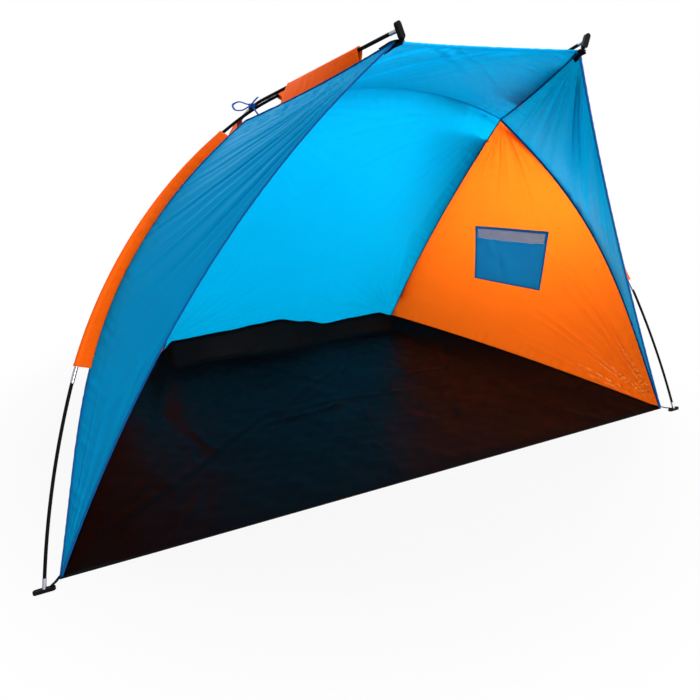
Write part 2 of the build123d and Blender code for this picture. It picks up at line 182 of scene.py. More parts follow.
class WindbreakSizes(bpy.types.PropertyGroup):
    front_width: length_property("Front width", "Floor width at the open front", 2.0)
    back_width: length_property("Back width", "Floor width at the back", 1.114)
    depth: length_property("Depth", "Floor depth from front to back", 1.2)
    floor_top: length_property("Floor top", "Height of the floor sheet's upper face", 0.002)
    rim_height: length_property("Rim height", "Height of the raised rim at the back", 0.062)
    rim_arch: length_property("Rim arch", "How far the right rim's middle rises off a straight line", 0.015)
    left_rim_arch: length_property("Left rim arch", "The same for the left rim, which rides up higher", 0.042)
    hub_spacing: length_property("Hub spacing", "Between the two points where four panels meet", 0.822)
    hub_setback: length_property("Hub setback", "From the floor's front edge back to the hubs", 0.299)
    hub_height: length_property("Hub height", "Height of the hubs", 0.999)
    tip_spacing: length_property("Tip spacing", "Between the two front corners of the roof", 0.484)
    tip_reach: length_property("Tip reach", "From the floor's front edge forward to the tips", 0.169)
    tip_height: length_property("Tip height", "Height of the roof tips", 1.153)
    cloth: length_property("Cloth", "Thickness that the canopy cloth is drawn with", 0.0008)
    window_width: length_property("Window width", "Width of the side window", 0.264)
    window_height: length_property("Window height", "Height of the side window", 0.250)
    window_lean: length_property("Window lean", "How far the window's top leans to the front", 0.035)
    net_height: length_property("Net height", "Net that shows above the window flap", 0.050)
    binding: length_property("Binding", "Width of the window's tape on each side of its edge", 0.005)
    rod_radius: length_property("Rod radius", "Radius of the flexible poles", 0.00395)
    sleeve_radius: length_property("Sleeve radius", "Radius of the pole channel's bend", 0.0064)
    strap_width: length_property("Strap width", "Width of the corner straps", 0.012)
    tape_width: length_property("Tape width", "Width of the tie tapes", 0.012)


class WindbreakColours(bpy.types.PropertyGroup):
    cyan: colour_property("Cyan cloth", "Back and roof", "00B2EE")
    # The front panels are the same cyan cloth, drawn a deeper blue: painted shade
    blue: colour_property("Blue cloth", "Front panels", "009CD4")
    # The flaps are the front panels' cloth, drawn lighter: painted light
    flap: colour_property("Window flap", "Flaps inside the windows", "20C4FF")
    orange: colour_property("Orange cloth", "Side panels", "FF5A04")
    red_orange: colour_property("Sleeve cloth", "Pole sleeves", "FF6608")
    black: colour_property("Groundsheet", "Woven floor sheet", "070708")
    net: colour_property("Net", "Window net", "1C3284")
    binding: colour_property("Binding tape", "Bound seams and hems", "0C4C8A")
    window_tape: colour_property("Window tape", "Tape round the side windows", "1088D4")
    rod: colour_property("Pole rod", "Glass fibre rods", "060607")
    metal: colour_property("Ferrule", "Drawn metal tubes", "9C9EA2")
    fitting: colour_property("Fitting", "Moulded end bars", "0A0A0C")
    webbing: colour_property("Webbing", "Corner straps", "0C0C0F")
    tape: colour_property("Tie tape", "Tapes at the pole crossings", "1F62BC")


# Seams, panels and pole lines
def bezier(*handles):
    """A function that gives points along the Bezier curve with these handles."""
    handles = [np.asarray(handle, float) for handle in handles]
    degree = len(handles) - 1

    def at(share):
        share = np.asarray(share, float)[..., None]
        return sum(
            math.comb(degree, i) * share**i * (1 - share)**(degree - i) * handle
            for i, handle in enumerate(handles)
        )

    return at


def toward(start, end, shares):
    return start + (end - start) * np.array(shares)


def flipped(points):
    return np.asarray(points) * (-1, 1, 1)


def unit(vectors):
    return vectors / np.maximum(np.linalg.norm(vectors, axis=-1, keepdims=True), 1e-12)


def ride_up(share):
    """How far the back edge is lifted at a share of its width, eased from one stop to the next."""
    stops, lifts = np.array(RIDE_SHARES), np.array(RIDE_UP)
    before = np.clip(np.searchsorted(stops, share, side="right") - 1, 0, len(stops) - 2)
    step = np.clip((share - stops[before]) / (stops[before + 1] - stops[before]), 0, 1)
    return lifts[before] + (lifts[before + 1] - lifts[before]) * step * step * (3 - 2 * step)


class Cut:
    """The corners and seams of the right half, in metres, from the user's sizes."""

    def __init__(self, sizes):
        front_y = -sizes.depth / 2
        self.front = np.array((sizes.front_width / 2, front_y, sizes.floor_top))
        self.back = np.array((sizes.back_width / 2, sizes.depth / 2, sizes.rim_height))
        self.hub = np.array((sizes.hub_spacing / 2, front_y + sizes.hub_setback, sizes.hub_height))
        self.tip = np.array((sizes.tip_spacing / 2, front_y - sizes.tip_reach, sizes.tip_height))
        self.side_seam = bezier(
            self.front,
            toward(self.front, self.hub, SIDE_SEAM_LOW_SHARES),
            toward(self.front, self.hub, SIDE_SEAM_HIGH_SHARES),
            self.hub,
        )
        self.back_seam = bezier(self.back, toward(self.back, self.hub, BACK_SEAM_SHARES), self.hub)
        self.roof_seam = bezier(self.hub, toward(self.hub, self.tip, ROOF_SEAM_SHARES), self.tip)
        self.free_edge = bezier(self.front, toward(self.front, self.tip, FREE_EDGE_SHARES), self.tip)
        top_handle = self.hub * (TOP_SEAM_HANDLE_SHARE, 1, 1) + np.array(TOP_SEAM_RISE)
        self.top_seam = bezier(flipped(self.hub), flipped(top_handle), top_handle, self.hub)
        self.roof_edge = bezier(flipped(self.tip), self.tip * (0, 1, 1) + ROOF_EDGE_BOW, self.tip)
        middle = (self.front + self.back) / 2
        self.right_rim = bezier(self.front, middle + 2 * sizes.rim_arch * UP, self.back)
        self.left_rim = bezier(*flipped((self.front, middle + 2 * sizes.left_rim_arch * UP, self.back)))
        straight_rim = bezier(flipped(self.back), self.back)
        self.back_rim = lambda share: straight_rim(share) + np.multiply.outer(ride_up(share), UP)
        self.out_of_side = unit(np.cross(self.back - self.front, self.hub - self.front))
        self.out_of_front = unit(np.cross(self.hub - self.front, self.tip - self.front))
        self.arch = arch_line(self)
        self.bow = bow_line(self, sizes)


def arc_from(start, direction, end, steps):
    """Points along the arc that leaves start in the direction and ends at end, and its last direction."""
    chord = end - start
    inward = unit(chord - direction * chord.dot(direction))
    radius = chord.dot(chord) / (2 * chord.dot(inward))
    turn = 2 * math.atan2(chord.dot(inward), chord.dot(direction))
    angle = np.linspace(0, turn, steps)[:, None]
    points = start + inward * radius * (1 - np.cos(angle)) + direction * radius * np.sin(angle)
    return points, direction * math.cos(turn) + inward * math.sin(turn)


def arch_line(cut):
    """Centre line of half the arch pole, from its top down to the right foot."""
    foot = cut.front + np.array(ARCH_FOOT_OFF)
    top = cut.top_seam(0.5) + np.array(ARCH_TOP_OFF)
    rise = top - foot * (0, 1, 1)

    def place(shares):
        return foot * (shares[0], 1, 1) + rise * shares[1]

    stops = [top, place(ARCH_SHOULDER_SHARES), place(ARCH_KNEE_SHARES), foot]
    direction = np.array((1.0, 0.0, 0.0))
    runs = []
    for start, end in zip(stops, stops[1:]):
        points, direction = arc_from(start, direction, end, 120)
        runs.append(points if not runs else points[1:])
    return even_line(np.concatenate(runs))


def bow_line(cut, sizes):
    """Centre line of the right bow pole, from its back foot over the arch to its tip."""
    foot = cut.back * (1, 1, 0) + np.array(BOW_FOOT_OFF)
    tip = cut.tip + np.array(BOW_TIP_OFF)
    crossing, along = at_share(cut.arch, CROSSING_SHARE)
    lift = unit(np.cross(tip - crossing, along))
    lift = lift if lift[2] > 0 else -lift
    crossing = crossing + lift * (2 * sizes.rod_radius + POLE_GAP)
    out, on = unit(crossing - foot), unit(tip - crossing)
    turn = math.acos(out.dot(on))
    forward = unit(out * math.sin((1 - BOW_TURN_SHARE) * turn) + on * math.sin(BOW_TURN_SHARE * turn))
    inward = unit((on - out) - forward * (on - out).dot(forward))
    centre = crossing + inward * BOW_BEND_RADIUS

    def touch(end):
        away = unit(end - centre)
        across = unit(-inward - away * away.dot(-inward))
        angle = math.acos(BOW_BEND_RADIUS / np.linalg.norm(end - centre))
        return centre + (away * math.cos(angle) + across * math.sin(angle)) * BOW_BEND_RADIUS

    start, end = touch(foot), touch(tip)
    bend, _ = arc_from(start, unit(start - foot), end, 80)
    return even_line(np.concatenate([[foot], bend, [tip]]))


def run_of(line):
    """How far along the line each of its points lies."""
    return np.concatenate([[0], np.cumsum(np.linalg.norm(np.diff(line, axis=0), axis=1))])


def even_line(points, steps=600):
    """The same line with evenly spaced points."""
    run = run_of(points)
    wanted = np.linspace(0, run[-1], steps)
    return np.stack([np.interp(wanted, run, points[:, k]) for k in range(3)], axis=1)


def at_share(line, share):
    """The place and direction at a share of an even line's length."""
    index = share * (len(line) - 1)
    low = np.minimum(np.floor(index).astype(int), len(line) - 2)
    weight = (index - low)[..., None] if np.ndim(share) else index - low
    return line[low] * (1 - weight) + line[low + 1] * weight, unit(line[low + 1] - line[low])


# Folds and puckers of stretched cloth
def ripple(x, seed):
    """An uneven wave between about -1 and 1 with one crest per unit of x."""
    a, b, c, d = np.random.RandomState(seed).uniform(0, 2 * math.pi, 4)
    bent = 2 * math.pi * x + a + 1.1 * np.sin(0.41 * 2 * math.pi * x + b)
    return np.sin(bent) * (0.62 + 0.38 * np.sin(0.27 * 2 * math.pi * x + c)) + 0.25 * np.sin(1.7 * bent + d)


def swell(uv, size, seed):
    """Slow uneven hills, about size across, between about -1 and 1."""
    rng = np.random.RandomState(seed)
    total = 0
    for _ in range(7):
        angle, phase = rng.uniform(0, 2 * math.pi), rng.uniform(0, 2 * math.pi)
        stretch = rng.uniform(0.6, 1.6)
        wave = (uv[..., 0] * math.cos(angle) + uv[..., 1] * math.sin(angle)) / (size * stretch)
        total = total + np.sin(2 * math.pi * wave + phase)
    return total / 4


def nearest_on(points, curve, steps=300):
    """How far each point is from a seam, and how far along the seam its nearest place lies."""
    line = curve(np.linspace(0, 1, steps))
    run = run_of(line)
    ahead = unit(np.gradient(line, axis=0))
    flat = points.reshape(-1, 3)
    gap, at = np.empty(len(flat)), np.empty(len(flat))
    for first in range(0, len(flat), NEAREST_AT_ONCE):
        some = slice(first, first + NEAREST_AT_ONCE)
        part = flat[some]
        near = ((part[:, None] - line[None]) ** 2).sum(axis=2).argmin(axis=1)
        off = part - line[near]
        slide = (off * ahead[near]).sum(axis=1)
        gap[some] = np.sqrt(np.maximum((off**2).sum(axis=1) - slide**2, 0))
        at[some] = run[near] + slide
    return gap.reshape(points.shape[:-1]), at.reshape(points.shape[:-1])


def puckers(points, curve, depth, reach, spacing, seed):
    """Short ridges square to a seam, strongest beside its stitches and fading into the panel."""
    gap, run = nearest_on(points, curve)
    drift = 0.35 * np.sin(gap / reach * 1.3 + seed)
    return depth * np.exp(-gap / reach) * ripple(run / spacing + drift, seed)


def fan_folds(points, apex, to, square, step, depth, near, far, seed, spread=90):
    """Long pull folds that spread from a corner: angles in degrees, distances in metres."""
    ahead = unit(to - apex)
    across = unit(np.cross(square, ahead))
    off = points - apex
    angle = np.degrees(np.arctan2((off * across).sum(-1), (off * ahead).sum(-1)))
    away = np.linalg.norm(off, axis=-1)
    rise = (away / near) * np.exp(1 - away / near) * 0.35 + 0.65 * (1 - np.exp(-away / near))
    fading = np.exp(-((away / far) ** 2) - (angle / spread) ** 2)
    return depth * rise * fading * ripple(angle / step, seed)


def pulls(smooth, outward, seams, corners):
    """Height of the puckers along seams and of the pull folds that spread from corners.

    A seam gives its curve, depth, reach, spacing and seed; a corner its place, where the folds point, their
    step in degrees, depth, near and far distance, seed and, if they stay together, their spread.
    """
    square = unit(np.asarray(outward, float))
    height = sum(puckers(smooth, *seam) for seam in seams)
    return height + sum(fan_folds(smooth, apex, to, square, *folds) for apex, to, *folds in corners)


def coons(low, high, left, right, columns, rows):
    """A grid of points that fills four curves: low and high run across, left and right run up."""
    u, v = np.linspace(0, 1, columns + 1), np.linspace(0, 1, rows + 1)
    across, up = u[None, :, None], v[:, None, None]
    ruled_up = low(u)[None] * (1 - up) + high(u)[None] * up
    ruled_across = left(v)[:, None] * (1 - across) + right(v)[:, None] * across
    corners = (
        (low(0.0) * (1 - across) + low(1.0) * across) * (1 - up)
        + (high(0.0) * (1 - across) + high(1.0) * across) * up
    )
    return ruled_up + ruled_across - corners


def grid_normals(grid, outward):
    across, up = np.gradient(grid, axis=1), np.gradient(grid, axis=0)
    normals = unit(np.cross(across, up))
    bad = np.linalg.norm(np.cross(across, up), axis=-1) < 1e-10
    mean = unit(normals[~bad].mean(axis=0))
    normals[bad] = mean
    return normals if mean.dot(outward) > 0 else -normals


def raised(smooth, height, outward):
    return smooth + grid_normals(smooth, outward) * height[..., None]


def plane_map(grid, outward):
    """Flat coordinates in metres on the panel's mean plane."""
    outward = unit(np.asarray(outward, float))
    across = unit(np.cross(UP, outward) if abs(outward[2]) < 0.9 else np.array((1.0, 0.0, 0.0)))
    up = np.cross(outward, across)
    return np.stack([grid @ across, grid @ up], axis=-1)


# Meshes and objects
def new_object(name, points, faces, uv, look, smooth=True):
    """A mesh object at the origin with the named finish; uv gives one pair per point, or is None."""
    mesh = bpy.data.meshes.new(name)
    mesh.from_pydata(np.asarray(points).reshape(-1, 3).tolist(), [], [list(face) for face in faces])
    if uv is not None:
        layer = mesh.uv_layers.new(name="cloth")
        corner = np.empty(len(mesh.loops), int)
        mesh.loops.foreach_get("vertex_index", corner)
        layer.data.foreach_set("uv", np.asarray(uv, float).reshape(-1, 2)[corner].ravel())
    mesh.polygons.foreach_set("use_smooth", [smooth] * len(mesh.polygons))
    mesh.update()
    made = bpy.data.objects.new(name, mesh)
    bpy.context.collection.objects.link(made)
    mesh.materials.append(finish_of(look))
    return made


def grid_faces(rows, columns, closed=False):
    """Quads of a grid of rows by columns points; closed joins the last column to the first."""
    row, column = np.mgrid[0:rows - 1, 0:columns if closed else columns - 1]
    low, high, after = row * columns, (row + 1) * columns, (column + 1) % columns
    quads = [low + column, low + after, high + after, high + column]
    return np.stack([quad.ravel() for quad in quads], axis=1)


def face_out(made, outward=None):
    """Merges doubled points; turns an open sheet to outward, or a closed shape's faces out."""
    shape = bmesh.new()
    shape.from_mesh(made.data)
    bmesh.ops.remove_doubles(shape, verts=shape.verts, dist=1e-6)
    bmesh.ops.dissolve_degenerate(shape, edges=shape.edges, dist=1e-6)
    bmesh.ops.recalc_face_normals(shape, faces=shape.faces)
    if outward is not None:
        total = sum((face.normal * face.calc_area() for face in shape.faces), Vector())
        if total.dot(Vector(outward)) < 0:
            bmesh.ops.reverse_faces(shape, faces=shape.faces)
    shape.to_mesh(made.data)
    shape.free()
    made.data.update()


def settle(made, nodes):
    """The piece rides on the frame and stands for its CAD nodes."""
    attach(made, "root")
    if nodes:
        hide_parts(*nodes)


def cloth(name, grid, uv, outward, look, thickness, node, slot, offset=0.0):
    """A sheet over a grid of points that stands for a CAD node."""
    made = new_object(name, grid, grid_faces(*grid.shape[:2]), uv, look)
    face_out(made, outward)
    solid = made.modifiers.new("cloth thickness", "SOLIDIFY")
    solid.thickness, solid.offset, solid.use_even_offset = thickness, offset, False
    settle(made, [node])
    return made


def cloth_panel(name, smooth, height, outward, look, sizes, node, slot):
    """Stretched cloth over a smooth panel, raised by the height of its folds."""
    grid = raised(smooth, height, outward)
    made = cloth(name, grid, plane_map(grid, outward), outward, look, sizes.cloth, node, slot)


def run_map(along, round_it):
    """Coordinates in metres along a piece and round it."""
    return np.stack(np.broadcast_arrays(along[:, None], round_it[None]), axis=-1)


def ring_map(rings):
    return run_map(run_of(rings.mean(axis=1)), run_of(rings[0]))


def ribbon(name, line, across, outline, look, nodes):
    """A tape, hem or strap: an outline of side and lift pairs carried along a line and kept off the floor."""
    ahead = unit(np.gradient(line, axis=0))
    across = np.broadcast_to(across, line.shape)
    side = unit(across - ahead * (across * ahead).sum(axis=1, keepdims=True))
    outline = np.asarray(outline, float)
    rings = line[:, None] + side[:, None] * outline[:, :1] + np.cross(ahead, side)[:, None] * outline[:, 1:]
    rings[..., 2] = np.maximum(rings[..., 2], FLOOR_GAP)
    count, sides = rings.shape[:2]
    ends = [range(sides), range((count - 1) * sides, count * sides)]
    made = new_object(name, rings, [*grid_faces(count, sides, closed=True), *ends], ring_map(rings), look)
    face_out(made)
    settle(made, nodes)


def oval(width, height, shift=0.0):
    angle = np.linspace(0, 2 * math.pi, 10, endpoint=False)
    return np.stack([np.cos(angle) * width / 2 + shift, np.sin(angle) * height / 2], axis=1)


def tape_outline(width, thickness):
    """Flat tape with rounded edges."""
    half, thin = width / 2, thickness / 2
    bead = thin * 0.4
    return [
        (-half, -bead), (-half + thin, -thin), (0, -thin), (half - thin, -thin), (half, -bead),
        (half, bead), (half - thin, thin), (0, thin), (-half + thin, thin), (-half, bead),
    ]


def smooth_line(points, steps):
    """An even line through a few points."""
    points = np.asarray(points, float)
    padded = np.concatenate([[2 * points[0] - points[1]], points, [2 * points[-1] - points[-2]]])
    parts = []
    for a, b, c, d in zip(padded, padded[1:], padded[2:], padded[3:]):
        t = np.linspace(0, 1, 24, endpoint=False)[:, None]
        parts.append(0.5 * (2 * b + (c - a) * t + (2 * a - 5 * b + 4 * c - d) * t**2
                            + (3 * b - a - 3 * c + d) * t**3))
    return even_line(np.concatenate(parts + [points[-1:]]), steps)


# Materials
def add_node(tree, kind, inputs=None, **settings):
    made = tree.nodes.new(kind)
    for name, value in settings.items():
        setattr(made, name, value)
    for socket, value in (inputs or {}).items():
        if isinstance(value, bpy.types.NodeSocket):
            tree.links.new(value, made.inputs[socket])
        else:
            made.inputs[socket].default_value = value
    return made


def new_material(name):
    material = bpy.data.materials.new(name)
    material.use_nodes = True
    material.node_tree.nodes.clear()
    return material, material.node_tree


def rgba(colour, gain=1.0):
    return tuple(min(1.0, part * gain) for part in colour) + (1.0,)


def finish(name, colour, grain, rough, cloud=None, shades=None, weave=None, relief=None, glow=None, **face):
    """A material from what its surface shows, with all sizes in millimetres.

    grain: size and detail of its fine unevenness; rough: its roughness, or the range of it over the grain;
    cloud: size and detail of slower changes; shades: gains of the darkest and lightest colour; weave: spacing
    of crossed threads, strength and depth; relief: strength and depth of the grain; glow: share of the light
    that comes through; face: the shader's other sockets. Woven things have their pattern on their own flat
    map, the rest in their own space.
    """
    material, tree = new_material(name)
    if weave:
        place = add_node(tree, "ShaderNodeUVMap", uv_map="cloth").outputs["UV"]
    else:
        place = add_node(tree, "ShaderNodeTexCoord").outputs["Object"]
    uneven = [
        add_node(tree, "ShaderNodeTexNoise", {"Vector": place, "Scale": 1 / (size * MM), "Detail": detail})
        for size, detail in ([grain, cloud] if cloud else [grain])
    ]
    fine, slow = uneven[0].outputs["Fac"], uneven[-1].outputs["Fac"]
    base, normal, bumps = rgba(colour), {}, []
    if shades:
        tints = {0: slow, 6: rgba(colour, shades[0]), 7: rgba(colour, shades[1])}
        base = add_node(tree, "ShaderNodeMix", tints, data_type="RGBA").outputs[2]
    if weave:
        bands = {"Vector": place, "Scale": 2 * math.pi / 20 / (weave[0] * MM)}
        warp, weft = (add_node(tree, "ShaderNodeTexWave", bands, bands_direction=way) for way in "XY")
        threads = {0: warp.outputs["Fac"], 1: weft.outputs["Fac"]}
        crossed = add_node(tree, "ShaderNodeMath", threads, operation="MULTIPLY")
        bumps.append((crossed.outputs[0], *weave[1:]))
    if relief:
        bumps.append((fine, *relief))
    for height, strength, depth in bumps:
        bump = {"Height": height, "Strength": strength, "Distance": depth * MM, **normal}
        normal = {"Normal": add_node(tree, "ShaderNodeBump", bump).outputs[0]}
    if isinstance(rough, tuple):
        span = {"Value": fine, "To Min": rough[0], "To Max": rough[1]}
        rough = add_node(tree, "ShaderNodeMapRange", span).outputs[0]
    shader = add_node(
        tree, "ShaderNodeBsdfPrincipled", {"Base Color": base, "Roughness": rough, **normal, **face}
    )
    if glow:
        pale = tuple(part ** PALE_POWER for part in colour)
        through = add_node(tree, "ShaderNodeBsdfTranslucent", {"Color": rgba(pale), **normal})
        shader = add_node(tree, "ShaderNodeMixShader", {0: glow, 1: shader.outputs[0], 2: through.outputs[0]})
    add_node(tree, "ShaderNodeOutputMaterial", {"Surface": shader.outputs[0]})
    return material


def polyester(name, colour, glow, shade=0.92, gloss=0.05):
    """Thin polyester taffeta, coated on one face: bright and even, with a soft sheen, fine crinkles and light
    coming through it. Its threads, a fifth of a millimetre apart, are drawn coarser so that they show."""
    return finish(
        name, colour, (26, 4.0), (0.42, 0.6), cloud=(240, 2.0), shades=(shade, 1.0), weave=(1.4, 0.12, 0.1),
        relief=(0.35, 1.2), glow=glow, **{SHEEN: gloss},
    )


def woven_band(name, colour, rib=1.2):
    """Narrow woven polyester or polypropylene: matt, with ribs across it as wide as its yarns."""
    return finish(
        name, colour, (9, 3.0), 0.7, shades=(0.72, 1.15), weave=(rib, 0.5, 0.3), **{SHEEN: 0.04}
    )


MATERIALS = {}


def finish_of(name):
    """The named finish, made once from the user's colours."""
    colours = bpy.context.scene.windbreak_colours
    makers = {
        "cyan": lambda: polyester("cyan_polyester", colours.cyan, 0.52),
        # The roof is the cyan cloth with less of the light coming through it, so that it renders darker:
        # painted shade
        "roof": lambda: polyester("roof_polyester_painted_shade", colours.cyan, 0.37),
        # The front panels are the cyan cloth drawn a deeper blue, with less of the light coming through it:
        # painted shade
        "blue": lambda: polyester("front_polyester_painted_shade", colours.blue, 0.40),
        # The flaps are the front panels' cloth drawn lighter: painted light
        "flap": lambda: polyester("flap_polyester_painted_light", colours.flap, 0.3, 0.9, 0.4),
        "orange": lambda: polyester("orange_polyester", colours.orange, 0.55),
        "sleeve": lambda: polyester("red_orange_polyester", colours.red_orange, 0.25, 0.9),
        "binding": lambda: woven_band("binding_tape", colours.binding),
        "window_tape": lambda: woven_band("window_tape", colours.window_tape),
        "edge": lambda: woven_band("black_hem_tape", colours.black),
        "webbing": lambda: woven_band("polypropylene_webbing", colours.webbing, 1.8),
        "tape": lambda: woven_band("tie_tape", colours.tape),
        # Black polyethylene slit-film tarpaulin: dark, with a waxy sheen, flat tapes three millimetres wide
        # that show as a faint grid, and fold marks from its pack
        "floor": lambda: finish(
            "woven_polyethylene", colours.black, (60, 5.0), (0.34, 0.52), cloud=(180, 3.0),
            shades=(0.55, 1.25), weave=(3, 0.25, 0.2), relief=(0.5, 3), **{SHEEN: 0.05},
        ),
        # Fine knitted polyester net: dull threads with open holes between them
        "net": lambda: finish("knitted_net", colours.net, (1.5, 2.0), 0.75, shades=(0.8, 1.15)),
        # Pultruded glass fibre rod: black resin with a satin gloss and faint streaks of fibre
        "rod": lambda: finish(
            "glass_fibre_rod", colours.rod, (2.5, 3.0), (0.5, 0.65), shades=(0.7, 1.6), **{SHEEN: 0.04}
        ),
        # Drawn aluminium tube: bright, with fine scratches from handling that spread its highlights
        "metal": lambda: finish(
            "drawn_aluminium", colours.metal, (1.2, 5.0), (0.22, 0.42), relief=(0.1, 0.1), Metallic=1.0
        ),
        # Moulded black nylon: satin, with the fine spark-eroded grain of its mould
        "fitting": lambda: finish(
            "moulded_nylon", colours.fitting, (0.8, 4.0), (0.4, 0.58), relief=(0.2, 0.15), **{SHEEN: 0.05}
        ),
    }
    if name not in MATERIALS:
        MATERIALS[name] = makers[name]()
    return MATERIALS[name]


def sided(points, sign):
    """Points of the right half, or their mirror image for the left."""
    return np.asarray(points) if sign > 0 else flipped(points)


def sided_curve(curve, sign):
    return curve if sign > 0 else lambda share: flipped(curve(share))


def still(point):
    """A curve that stays at one corner."""
    return lambda share: np.broadcast_to(point, np.shape(share) + (3,)).astype(float)


def border_mask(points, curves, width):
    """Nought on the given seams and one away from them, so that panels meet along their seams."""
    mask = 1.0
    for curve in curves:
        gap, _ = nearest_on(points, curve)
        mask = mask * (1 - np.exp(-((gap / width) ** 2)))
    return mask


class WindbreakOperator:
    bl_options = {"REGISTER", "UNDO"}

    def execute(self, context):
        bpy.ops.object.select_all(action="DESELECT")
        self.make(context.scene.windbreak_sizes)
        return {"FINISHED"}


class WINDBREAK_OT_groundsheet(WindbreakOperator, bpy.types.Operator):
    """Lay the black groundsheet with its raised rim, folds and pack creases"""

    bl_idname = "windbreak.groundsheet"
    bl_label = "Groundsheet"

    def make(self, sizes):
        cut = Cut(sizes)
        columns, rows = 170, 104
        u, v = np.linspace(-1, 1, columns + 1), np.linspace(0, 1, rows + 1)
        edge = cut.right_rim(v)
        fold = np.interp(v, FOLD_DEPTH_SHARES, FOLD_OUT)
        x = u[None] * edge[:, :1]
        y = np.broadcast_to(edge[:, 1:2], x.shape)
        plan = np.stack([x, y], axis=-1)
        out = np.clip((np.abs(x) - fold[:, None]) / (edge[:, :1] - fold[:, None]), 0, 1)
        side_rise = (np.where(x < 0, cut.left_rim(v)[:, 2:], edge[:, 2:]) - FLOOR_CLOTH) * out**1.15
        ride = ride_up(np.clip(x / sizes.back_width + 0.5, 0, 1))
        back_fold = sizes.depth / 2 - BACK_FOLD_WIDTH - 0.5 * ride - BACK_FOLD_WAVER * np.sin(9 * x + 1)
        in_rim = np.clip((y - back_fold) / (sizes.depth / 2 - back_fold), 0, 1)
        back_rise = (sizes.rim_height - 0.001 + ride) * in_rim
        rise = np.maximum(side_rise, back_rise)
        edge_gap = np.minimum((1 - np.abs(u))[None] * edge[:, :1], sizes.depth / 2 - np.abs(y))
        loose = 1 - np.exp(-((edge_gap / EDGE_HOLD) ** 2))
        crumple = sum(depth * swell(plan, wide, seed) for depth, wide, seed in CRUMPLES)
        crease = 0.0
        for start, end, depth, wide in CREASES:
            start, end = np.array(start), np.array(end)
            ahead = unit(end - start)
            gap = (plan - start) @ np.array((-ahead[1], ahead[0]))
            beyond = np.abs((plan - (start + end) / 2) @ ahead) / (np.linalg.norm(end - start) / 2)
            bent = gap + CREASE_WAVER * np.sin(7 * (plan - start) @ ahead)
            crease = crease + depth * np.exp(-((bent / wide) ** 2) - np.maximum(beyond - 0.7, 0) ** 2 * 12)
        from_fold = (np.abs(x) - fold[:, None]) / FOLD_RIDGE_WIDTH
        fold_line = FOLD_RIDGE_HEIGHT * np.exp(-(from_fold**2))
        z = rise + (np.maximum(crumple + 0.003, 0.0) + crease + fold_line) * loose
        grid = np.stack([x, y, np.maximum(z, 0.0) + FLOOR_LIFT], axis=-1)
        made = cloth("groundsheet_cloth", grid, plan, UP, "floor", FLOOR_CLOTH, "groundsheet", "groundsheet")


class WINDBREAK_OT_back_panel(WindbreakOperator, bpy.types.Operator):
    """Stretch the cyan back panel between the two back seams"""

    bl_idname = "windbreak.back_panel"
    bl_label = "Back panel"

    def make(self, sizes):
        cut = Cut(sizes)
        outward = (0, 1, 1)
        borders = [cut.back_rim, cut.top_seam, sided_curve(cut.back_seam, -1), cut.back_seam]
        smooth = coons(*borders, 168, 190)
        uv = plane_map(smooth, outward)
        seams = [(cut.top_seam, 0.0030, 0.04, 0.044, 27), (cut.back_rim, 0.0048, 0.06, 0.058, 28)]
        corners = []
        for sign, seed in ((1, 21), (-1, 22)):
            hub, corner, far = sided(cut.hub, sign), sided(cut.back, sign), sided(cut.back, -sign)
            seams.append((sided_curve(cut.back_seam, sign), 0.0050, 0.030, 0.040, seed))
            corners.append((hub, far, 7.0, 0.0018, 0.22, 0.62, seed + 2))
            corners.append((corner, sided(cut.hub, -sign), 6.5, 0.0055, 0.12, 0.40, seed + 4))
        billow = 0.008 * swell(uv, 0.62, 11) * border_mask(smooth, borders, 0.16)
        height = billow + 0.0016 * swell(uv, 0.19, 12)
        height = (height + pulls(smooth, outward, seams, corners)) * border_mask(smooth, borders, 0.016)
        cloth_panel(
            "back_cloth", smooth, height, outward, "cyan", sizes,
            "back_panel", "cyan_fabric",
        )


class WINDBREAK_OT_roof_panel(WindbreakOperator, bpy.types.Operator):
    """Stretch the cyan roof panel from the top seam out to the two tips"""

    bl_idname = "windbreak.roof_panel"
    bl_label = "Roof panel"

    def make(self, sizes):
        cut = Cut(sizes)
        outward = (0, -0.3, 1)
        borders = [cut.top_seam, cut.roof_edge, sided_curve(cut.roof_seam, -1), cut.roof_seam]
        smooth = coons(*borders, 150, 96)
        seams, corners = [(cut.top_seam, 0.0030, 0.035, 0.040, 38)], []
        for sign, seed, depth in ((1, 32, 0.0130), (-1, 35, 0.0030)):
            seams.append((sided_curve(cut.roof_seam, sign), 0.0045, 0.045, 0.036, seed + 1))
            corners.append((sided(cut.tip, sign), sided(cut.hub, -sign), 6.0, depth, 0.10, 0.62, seed, 20))
        height = 0.0016 * swell(plane_map(smooth, outward), 0.24, 31)
        height = (height + pulls(smooth, outward, seams, corners)) * border_mask(smooth, borders, 0.014)
        cloth_panel(
            "roof_cloth", smooth, height, outward, "roof", sizes,
            "roof_panel", "cyan_fabric",
        )


